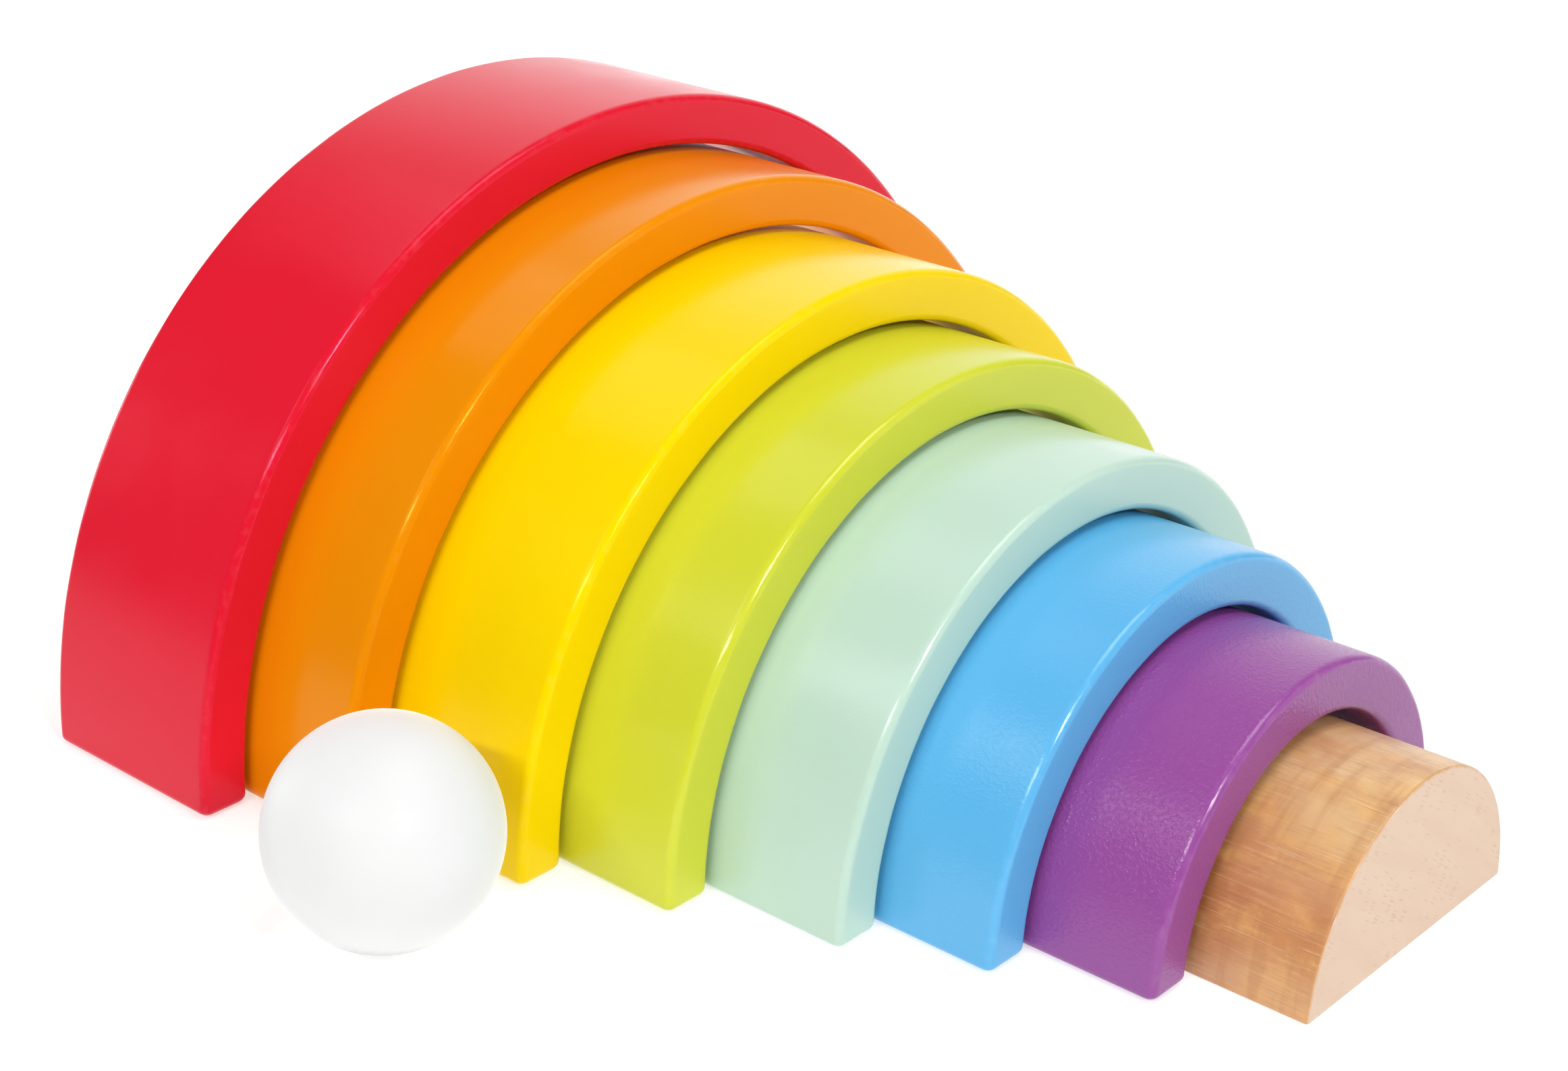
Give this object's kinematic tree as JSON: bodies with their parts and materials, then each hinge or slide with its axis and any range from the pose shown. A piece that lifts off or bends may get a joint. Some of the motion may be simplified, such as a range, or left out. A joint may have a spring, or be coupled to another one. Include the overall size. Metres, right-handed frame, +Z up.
{
  "type": "rainbow stacker",
  "caption": "Wooden rainbow stacker: lacquered half-ring arches that nest round a bare half-round block, drawn out in steps along one axis, with a loose white ball beside them.",
  "frame": {"origin": "on the floor, on the arches' common axis, in the middle of the core block's base", "axes": "+Z up; -Y to the front, the way the smaller pieces are drawn out; +X to the right seen from the front, so the ball stands on the -X side"},
  "size_m": [0.3092, 0.284, 0.14],
  "materials": {
    "red_lacquer": "satin red lacquer on wood",
    "orange_lacquer": "satin orange lacquer on wood",
    "yellow_lacquer": "satin yellow lacquer on wood",
    "green_lacquer": "satin lime green lacquer on wood",
    "mint_lacquer": "satin mint lacquer on wood",
    "blue_lacquer": "satin sky blue lacquer on wood",
    "purple_lacquer": "satin purple lacquer on wood",
    "bare_wood": "bare wood, clear coated, grain showing",
    "white_lacquer": "satin white lacquer on wood"
  },
  "bodies": {
    "red_arch": {"red_arch": "red_lacquer"},
    "orange_arch": {"orange_arch": "orange_lacquer"},
    "yellow_arch": {"yellow_arch": "yellow_lacquer"},
    "green_arch": {"green_arch": "green_lacquer"},
    "mint_arch": {"mint_arch": "mint_lacquer"},
    "blue_arch": {"blue_arch": "blue_lacquer"},
    "purple_arch": {"purple_arch": "purple_lacquer"},
    "core_block": {"core_block": "bare_wood"},
    "ball": {"ball": "white_lacquer"}
  },
  "joints": [
    {"name": "orange_slide", "type": "slide", "parent": "red_arch", "child": "orange_arch", "axis": [0, -1, 0], "range_m": [-0.032, 0.016]},
    {"name": "yellow_slide", "type": "slide", "parent": "red_arch", "child": "yellow_arch", "axis": [0, -1, 0], "range_m": [-0.074, 0.034]},
    {"name": "green_slide", "type": "slide", "parent": "red_arch", "child": "green_arch", "axis": [0, -1, 0], "range_m": [-0.105, 0.063]},
    {"name": "mint_slide", "type": "slide", "parent": "red_arch", "child": "mint_arch", "axis": [0, -1, 0], "range_m": [-0.141, 0.087]},
    {"name": "blue_slide", "type": "slide", "parent": "red_arch", "child": "blue_arch", "axis": [0, -1, 0], "range_m": [-0.17, 0.118]},
    {"name": "purple_slide", "type": "slide", "parent": "red_arch", "child": "purple_arch", "axis": [0, -1, 0], "range_m": [-0.201, 0.147]},
    {"name": "core_slide", "type": "slide", "parent": "red_arch", "child": "core_block", "axis": [0, -1, 0], "range_m": [-0.228, 0.18]},
    {"name": "ball_roll", "type": "slide", "parent": "red_arch", "child": "ball", "axis": [-1, 0, 0], "range_m": [0, 0.15]}
  ]
}
